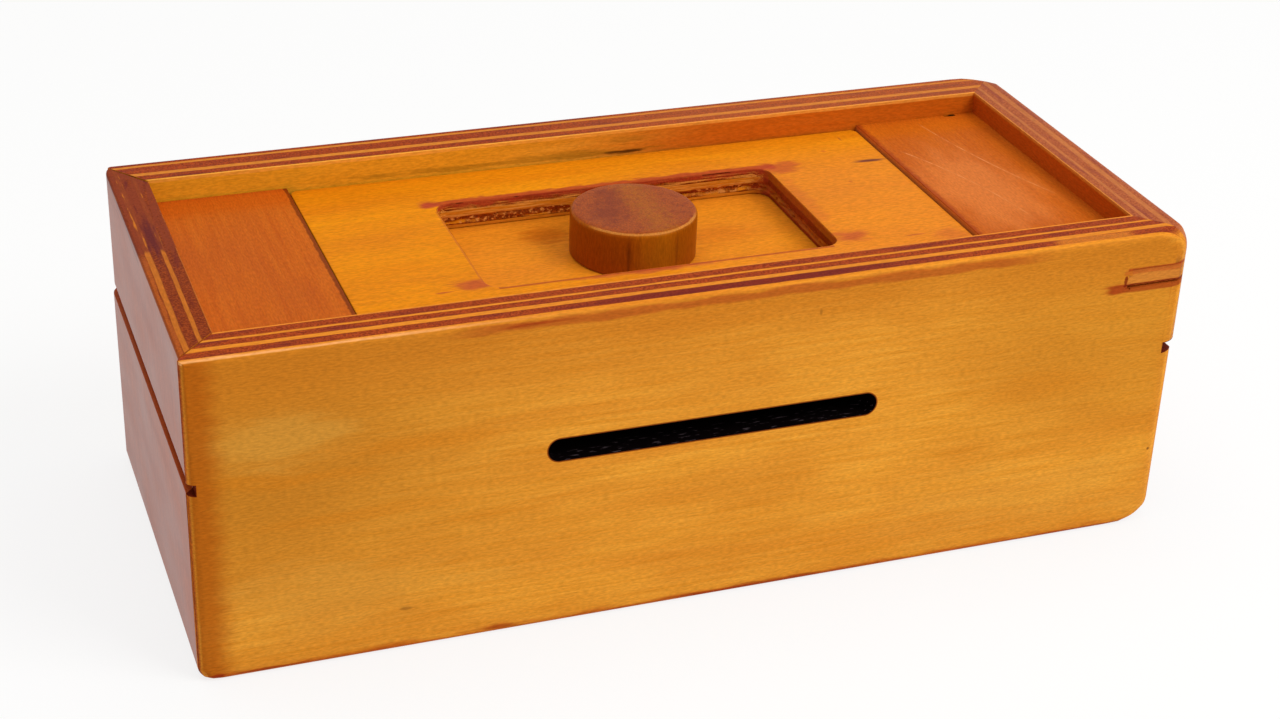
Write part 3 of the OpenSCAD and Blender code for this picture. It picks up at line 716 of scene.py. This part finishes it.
def hand_rounded(work):
    """Draws a board's points in to the corners that were rounded by hand.

    A level cut at the height k and a fan of upright cuts give each corner its points first."""
    for end_x, face_z, inward, upright, reach, side in HAND_CORNERS:
        most = upright + reach/LEAN
        ahead = np.sign(end_x)
        middle = ((end_x - ahead*most)*MM, side*(half_width - most)*MM, (face_z + inward*reach)*MM)
        for across in [(0, 0, 1)] + [(-ahead*np.sin(a), side*np.cos(a), 0) for a in FAN]:
            close = [face for face in work.faces if any(
                abs(v.co.x/MM - end_x) < most and abs(v.co.y/MM - side*half_width) < most
                and abs(v.co.z/MM - face_z) < reach - REACH_SLACK for v in face.verts)]
            cut = dict.fromkeys(item for face in close for item in (face, *face.edges, *face.verts))
            bmesh.ops.bisect_plane(work, geom=list(cut), plane_co=middle, plane_no=across,
                                   dist=CUT_SLACK*MM)
        points = np.array([v.co for v in work.verts])/MM
        depth = (points[:, 2] - face_z)*inward
        rise = np.clip(1 - depth/reach, 0, 1)
        radius = upright + (1 - np.sqrt(1 - rise**2))*reach/LEAN
        away = np.stack([(points[:, 0] - end_x)*ahead + radius,
                         points[:, 1]*side - half_width + radius], axis=1)
        length = np.linalg.norm(away, axis=1)
        outside = (away.min(axis=1) > 0) & (length > radius + TINY) & (depth < reach)
        shift = away*(radius/np.maximum(length, TINY) - 1)[:, None]*outside[:, None]
        points[:, :2] += shift*(ahead, side)
        for vert, place in zip(work.verts, points*MM):
            vert.co = place
    bmesh.ops.dissolve_limit(work, angle_limit=FLAT, verts=work.verts, edges=work.edges)
    work.normal_update()


# %% Every board
def finish_mesh(piece, body, slot, material, node):
    """Gives a piece its material and body, and lets it stand for a CAD node. slot is not used.

    A pair of materials is for a board whose outer face has more gloss and, as painted shade and a
    painted reflection tint, darker mauve tones: the second goes on faces that look along -X."""
    pair = material if isinstance(material, tuple) else (material,)
    piece.data.materials.clear()
    for part in pair:
        piece.data.materials.append(part)
    if len(pair) > 1:
        for face in piece.data.polygons:
            face.material_index = int(face.normal.x < -0.95)
    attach(piece, body)
    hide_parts(node)
    return piece


def piece_from(name, mesh, work):
    """An object that shows a work mesh, smooth but for its sharp edges."""
    work.to_mesh(mesh)
    work.free()
    mesh.shade_smooth()
    mesh.set_sharp_from_angle(angle=SHARP)
    return placed(name, mesh)


def eased_board(node, body, slot, material, width):
    """A copy of a CAD node with its triangles merged and its sharp edges rounded by width in mm."""
    work = bmesh.new()
    work.from_mesh(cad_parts[node].data)
    bmesh.ops.remove_doubles(work, verts=work.verts, dist=0.002*MM)
    bmesh.ops.dissolve_limit(work, angle_limit=FLAT, verts=work.verts, edges=work.edges)
    bmesh.ops.recalc_face_normals(work, faces=work.faces)
    weight = work.edges.layers.float.new("bevel_weight_edge")
    for edge in work.edges:
        if edge.calc_face_angle(0.0) > SHARP:
            edge[weight] = easing(*[v.co/MM for v in edge.verts])
    if slot == "stained_plywood":
        hand_rounded(work)
        for edge in work.edges:
            if edge.calc_face_angle(np.pi) < SHARP:
                edge[weight] = 0.0
    name = node + "_board"
    piece = piece_from(name, bpy.data.meshes.new(name), work)
    rounding = piece.modifiers.new("eased_edges", "BEVEL")
    rounding.limit_method = "WEIGHT"
    rounding.width = width*MM
    rounding.segments = 2
    rounding.use_clamp_overlap = False
    piece.modifiers.new("flat_faces", "WEIGHTED_NORMAL").keep_sharp = True
    return finish_mesh(piece, body, slot, material, node)


# Body, slot, material, how wide the edges are eased in mm, and the nodes
BOARDS = (
    ("case", "stained_plywood", front_ply, 0.45, "front_wall"),
    ("case", "stained_plywood", back_ply, 0.45, "back_wall"),
    ("case", "stained_plywood", (left_ply, left_glossy_shaded_face), 0.2, "left_lower_end"),
    ("case", "stained_plywood", right_ply, 0.45, "right_lower_end right_upper_end"),
    ("case", "orange_veneer", right_side_ply, 0.12, "right_deck_panel"),
    ("case", "plain_plywood", bare_ply, 0.3, "right_cleat lid_stop_bar"),
    ("case", "plain_plywood", bare_ply, 0.2, "base_panel"),
    ("lid", "stained_plywood", (left_ply, left_glossy_shaded_face), 0.2, "left_upper_end"),
    ("lid", "orange_veneer", side_ply, 0.2, "left_deck_panel"),
    ("lid", "plain_plywood", bare_ply, 0.3, "lid_carrier"),
    ("lid", "plain_plywood", bare_ply, 0.2, "front_runner back_runner left_filler right_filler"),
    ("slider", "golden_plywood", slider_ply, 0.2, "slider_board"),
    ("slider", "screw_steel", zinc_steel, 0.25, "cam_pins"),
    ("front_bolt", "hardwood", bolt_wood, 0.3, "front_bolt"),
    ("back_bolt", "hardwood", bolt_wood, 0.3, "back_bolt"))
eased = [eased_board(node, *rest) for *rest, nodes in BOARDS for node in nodes.split()]
print("eased boards", len(eased))

# %% [markdown]
# ## Surfaces from two parameters
#
# The remaining pieces are worked out point by point: a grid of points is computed as one array,
# where the row says how far round the profile a point is and the column how far along the path.
# One function then ties neighbouring points into faces. Columns close on themselves, rows can,
# and a row that has shrunk to one point becomes a pole.


# %% Mesh from a grid of points
def grid_mesh(name, points, close_rows=False):
    """Object from points[row, column] in metres; columns close, and end rows may be single points.

    Faces join (r, c), (r, c + 1), (r + 1, c + 1), (r + 1, c), with c + 1 counted round."""
    at = np.arange(points[..., 0].size).reshape(points.shape[:2])
    above = np.roll(at, -1, axis=0)
    corners = np.stack([at, np.roll(at, -1, axis=1), np.roll(above, -1, axis=1), above], axis=-1)
    corners = corners[:len(at) if close_rows else -1].reshape(-1, 4)
    mesh = bpy.data.meshes.new(name)
    mesh.from_pydata(points.reshape(-1, 3), [], corners.tolist())
    work = bmesh.new()
    work.from_mesh(mesh)
    bmesh.ops.remove_doubles(work, verts=work.verts, dist=0.0005*MM)
    bmesh.ops.recalc_face_normals(work, faces=work.faces)
    return piece_from(name, mesh, work)


def smooth_noise(rng, rows, columns, wide):
    """Random numbers on a grid whose columns close, blurred over wide columns, of spread 1."""
    rough = rng.normal(size=(rows, columns))
    turns = np.fft.rfftfreq(columns)
    soft = np.fft.irfft(np.fft.rfft(rough, axis=1)*np.exp(-(turns*wide)**2*8), columns, axis=1)
    return soft/soft.std()


# %% [markdown]
# ## The middle panel and its routed window
#
# The window was cut by a router, which leaves the long-grain veneers clean and tears the ones that
# run across it. A flat solid can't show that, so the panel is made anew as a ring: one outline
# for the panel, one for the window, matched side by side and corner by corner, and a profile that
# goes up the outer edge, over the top, down the window's wall and back underneath. On the window's
# wall every row gets its own amount of tearing, largest in the veneer just above the bottom one.


# %% Middle panel
PER_SIDE, PER_CORNER = 90, 12


def rounded_outline(half_x, half_y, radius):
    """Points round a rectangle with round corners: each side and each quarter circle is shared
    out evenly, so that two outlines match point by point."""
    arcs = []
    for quarter, (sx, sy) in enumerate(((1, 1), (-1, 1), (-1, -1), (1, -1))):
        angle = (quarter + np.linspace(0, 1, PER_CORNER + 1))*np.pi/2
        centre = np.array([sx*(half_x - radius), sy*(half_y - radius)])
        arcs.append(centre + radius*np.stack([np.cos(angle), np.sin(angle)], axis=1))
    along = np.linspace(0, 1, PER_SIDE, endpoint=False)[:, None]
    sides = [arc[-1] + along*(after[0] - arc[-1]) for arc, after in zip(arcs, arcs[1:] + arcs[:1])]
    return np.concatenate([part for arc, side in zip(arcs, sides) for part in (arc[:-1], side)])


# Half of the window's length and width, and the radius of its corners
WINDOW = np.array([33.3, 18.15, 3.0])
PANEL_R = 1.5
WINDOW_X = -1.5
EASE, OUTER_EASE = 0.35, 0.15
# Height above the window's foot as a share, and how far the router tore there, in mm
TEAR = ((0.96, 0.04), (0.90, 0.05), (0.80, 0.08), (0.70, 0.10), (0.64, 0.06), (0.58, 0.03),
        (0.50, 0.03), (0.44, 0.10), (0.38, 0.35), (0.31, 0.50), (0.24, 0.50), (0.17, 0.40),
        (0.12, 0.10), (0.06, 0.02))


def middle_panel():
    """The panel as a closed ring: profile rows outer edge, top, torn window wall, underside."""
    rng = np.random.default_rng(7)
    (x0, _, z0), (x1, y1, z1) = box_mm("centre_deck_panel")
    thick = z1 - z0
    middle = ((x0 + x1)/2, 0)
    size = np.array([(x1 - x0)/2, y1, PANEL_R])
    outer, shrunk = rounded_outline(*size) + middle, rounded_outline(*(size - OUTER_EASE)) + middle
    window = rounded_outline(*WINDOW)
    away = rounded_outline(*(WINDOW + 1)) - window
    window = window + (WINDOW_X, 0)

    def row(outline, z):
        return np.column_stack([outline, np.broadcast_to(z, len(outline))])

    bulge = 1 - np.sqrt(0.5)
    half = EASE*bulge
    rows = [row(outer, z0), row(outer, z1 - OUTER_EASE),
            row((outer + shrunk)/2, z1 - OUTER_EASE*bulge), row(shrunk, z1),
            row(window + away*2*EASE, z1), row(window + away*EASE, z1 - 0.02),
            row(window + away*half, z1 - half), row(window, z1 - EASE)]
    torn = smooth_noise(rng, len(TEAR), len(window), 5.0)
    fine = smooth_noise(rng, len(TEAR), len(window), 1.5)
    for (share_up, depth), coarse_row, fine_row in zip(TEAR, torn, fine):
        tear = depth*np.clip(0.55 + 0.5*coarse_row + 0.3*fine_row, 0, 1.6)
        jog = 0.06*fine_row*(depth > 0.2)
        rows.append(row(window + away*tear[:, None], z0 + share_up*thick + jog))
    rows.append(row(window, z0))
    return grid_mesh("window_panel", np.array(rows)*MM, close_rows=True)


panel = finish_mesh(middle_panel(), "lid", "golden_plywood", middle_ply, "centre_deck_panel")
print("middle panel", len(panel.data.polygons), "faces")

# %% [markdown]
# ## The knob
#
# The knob is a slice of dowel, turned on its axis: a flat top, a short eased edge that catches the
# light, and an upright side. It is a profile carried round a circle, with a hand-sanded waver of a
# few hundredths of a millimetre so that its highlight isn't a machine's.


# %% Knob
KNOB_EASE, KNOB_FOOT, KNOB_WAVER = 0.9, 0.3, 0.02
KNOB_TURNS = 128


def turned(name, profile, x, turns, waver):
    """Surface of revolution about an upright axis at (x, 0): profile rows (radius, height) in mm.

    A point is (x + r cos a, r sin a, z), with r = radius - waver times the size of smooth noise."""
    rng = np.random.default_rng(3)
    radius, height = np.array(profile, float).T
    angle = np.linspace(0, 2*np.pi, turns, endpoint=False)
    off = waver*smooth_noise(rng, len(radius), turns, 12.0)
    r = radius[:, None] - np.abs(off)*(radius[:, None] > 0)
    points = np.stack([x + r*np.cos(angle), r*np.sin(angle),
                       np.repeat(height[:, None], turns, axis=1)], axis=-1)
    return grid_mesh(name, points*MM)


# Foot, side, eased edge as a quarter circle and flat top, from the axis round to the axis
(x0, _, z0), (x1, _, z1) = box_mm("knob")
knob_x, knob_r = (x0 + x1)/2, (x1 - x0)/2
bend = np.linspace(0, np.pi/2, 7)
edge = [(knob_r + KNOB_EASE*(np.cos(a) - 1), z1 + KNOB_EASE*(np.sin(a) - 1)) for a in bend]
side = [(knob_r, z) for z in np.linspace(z0 + KNOB_FOOT, z1 - KNOB_EASE, 8)[:-1]]
top = [(r, z1) for r in np.linspace(knob_r - KNOB_EASE, 0, 9)[1:]]
profile = [(0, z0), (knob_r - KNOB_FOOT, z0)] + side + edge + top
knob = finish_mesh(turned("dowel_knob", profile, knob_x, KNOB_TURNS, KNOB_WAVER), "slider",
                   "turned_dowel", dowel_wood, "knob")
print("knob", len(knob.data.polygons), "faces")

# %% [markdown]
# ## The screws
#
# Six countersunk screws hold the lid together from below, and one holds the knob. Only their heads
# can be seen, once the lid is out. A head is a disc of rings whose height dips where a cross-shaped
# driver recess is, so the recess is part of the surface and not a picture on it.


# %% Screws
SCREW_TURNS = 48
HEAD_R, SHANK_R, HEAD_H = 2.8, 1.6, 1.8
LID_SCREW, KNOB_SCREW = 13.5, 9.0


def screw_points(x, y, z, length):
    """Rows of a countersunk screw pointing up, in mm: head face with its recess, cone, shank.

    The recess has two crossed arms. It is full depth near an arm's axis, rises to nothing where
    the arm's half width ends, and stops at a circle."""
    arm, reach, deep = 0.26*HEAD_R, 0.62*HEAD_R, 0.5*HEAD_H
    angle = np.linspace(0, 2*np.pi, SCREW_TURNS, endpoint=False)
    face_r = np.linspace(0, HEAD_R - 0.1, 14)[:, None]
    px, py = face_r*np.cos(angle), face_r*np.sin(angle)
    nearest = np.minimum(np.abs(px), np.abs(py))
    sunk = deep*np.clip((arm - nearest)/(0.35*arm), 0, 1)
    sunk = sunk*np.clip((reach - face_r)/(0.3*reach), 0, 1)
    rows = [np.stack([x + px, y + py, z + sunk], axis=-1)]
    for r, h in ((HEAD_R, 0.1), (SHANK_R, HEAD_H), (SHANK_R, length - 1.2), (0.0, length)):
        ring = [x + r*np.cos(angle), y + r*np.sin(angle), np.full(SCREW_TURNS, z + h)]
        rows.append(np.stack(ring, axis=-1)[None])
    return np.concatenate(rows)


def screw_set(name, places, length):
    """Several screws as one object."""
    pieces = [grid_mesh(name, screw_points(*place, length)*MM) for place in places]
    with bpy.context.temp_override(active_object=pieces[0], selected_editable_objects=pieces):
        if len(pieces) > 1:
            bpy.ops.object.join()
    return pieces[0]


screw_y = box_mm("carrier_screws")[1][1] - HEAD_R
carrier_z, slider_z = [box_mm(node)[0][2] for node in ("lid_carrier", "slider_board")]
lid_places = [(x, side*screw_y, carrier_z) for x in (-73, -38, 38) for side in (-1, 1)]
lid_screws = finish_mesh(screw_set("lid_screws", lid_places, LID_SCREW), "lid", "screw_steel",
                         zinc_steel, "carrier_screws")
knob_screw = finish_mesh(screw_set("dowel_screw", [(knob_x, 0, slider_z)], KNOB_SCREW), "slider",
                         "screw_steel", zinc_steel, "knob_screw")
print("screws", len(lid_screws.data.polygons) + len(knob_screw.data.polygons), "faces")

# %% [markdown]
# ## Floor, light and camera
#
# The box stands on a pale floor in a white room. The camera and the gloss see the room as plain
# white, while the light that falls on the wood is set by itself: a soft room light from all round,
# a weak lamp above and a large one at the front right, so that faces that look left are darker.


# %% Stage
def seen_by(tree, *kinds):
    """1 for a ray of any of these kinds, and 0 for the rest."""
    seen = 0.0
    for kind in kinds:
        ray = add(tree, "LightPath", out=f"Is {kind} Ray")
        seen = add(tree, "Math", (seen, ray), operation="MAXIMUM")
    return seen


HALF_FLOOR = 3.0
WHITE_SHARE = 0.8
floor_mesh = bpy.data.meshes.new("floor")
floor_mesh.from_pydata([(x*HALF_FLOOR, y*HALF_FLOOR, 0)
                        for x, y in ((-1, -1), (1, -1), (1, 1), (-1, 1))], [], [(0, 1, 2, 3)])
floor = placed("floor", floor_mesh)

paper, tree, shader = new_material("white_paper")
shader.inputs["Base Color"].default_value = linear("#F2F1EE")
shader.inputs["Roughness"].default_value = 0.9
shader.inputs["Specular IOR Level"].default_value = 0.1
seen = add(tree, "Math", (seen_by(tree, "Camera", "Glossy"), WHITE_SHARE), operation="MULTIPLY")
white = add(tree, "Emission", {"Color": (1, 1, 1, 1), "Strength": 1.0})
mixed = add(tree, "MixShader", (seen, shader.outputs[0], white))
tree.links.new(mixed, tree.nodes["Material Output"].inputs["Surface"])
floor_mesh.materials.append(paper)

# %% World
ROOM_LIGHT = 0.55
world = bpy.data.worlds.new("white_room")
world.use_nodes = True
bpy.context.scene.world = world
tree = world.node_tree
seen = seen_by(tree, "Camera", "Glossy", "Transmission")
strength = add(tree, "MapRange", (seen, 0.0, 1.0, ROOM_LIGHT, 1.0))
background = tree.nodes["Background"]
background.inputs["Color"].default_value = (1, 1, 1, 1)
tree.links.new(strength, background.inputs["Strength"])

# %% Lamps and camera
# Name, place and size in metres, power in watts
LAMPS = (("key_softbox", (0.50, -0.55, 0.75), 0.55, 6.0),
         ("top_softbox", (-0.10, 0.15, 1.00), 0.70, 2.5))
for name, place, size, power in LAMPS:
    light = bpy.data.lights.new(name, "AREA")
    light.shape, light.size, light.energy = "SQUARE", size, power
    holder = placed(name, light)
    holder.location = place
    holder.rotation_euler = (-holder.location).to_track_quat("-Z", "Y").to_euler()

CAMERA_PLACE = Vector((-139.0, -366.2, 235.2))*MM
CAMERA_AIM = Vector((0.0, -1.1, 28.1))*MM
CAMERA_ROLL = np.radians(2.17)
LENS = 65.9
camera = bpy.data.cameras.new("camera")
camera.lens, camera.sensor_width = LENS, 36.0
camera.clip_start, camera.clip_end = 0.01, 20.0
holder = placed("camera", camera)
aim = (CAMERA_AIM - CAMERA_PLACE).to_track_quat("-Z", "Y").to_matrix()
turn = aim @ Matrix.Rotation(CAMERA_ROLL, 3, "Z")
holder.matrix_world = Matrix.Translation(CAMERA_PLACE) @ turn.to_4x4()
bpy.context.scene.camera = holder
bpy.context.scene.view_settings.view_transform = "Standard"
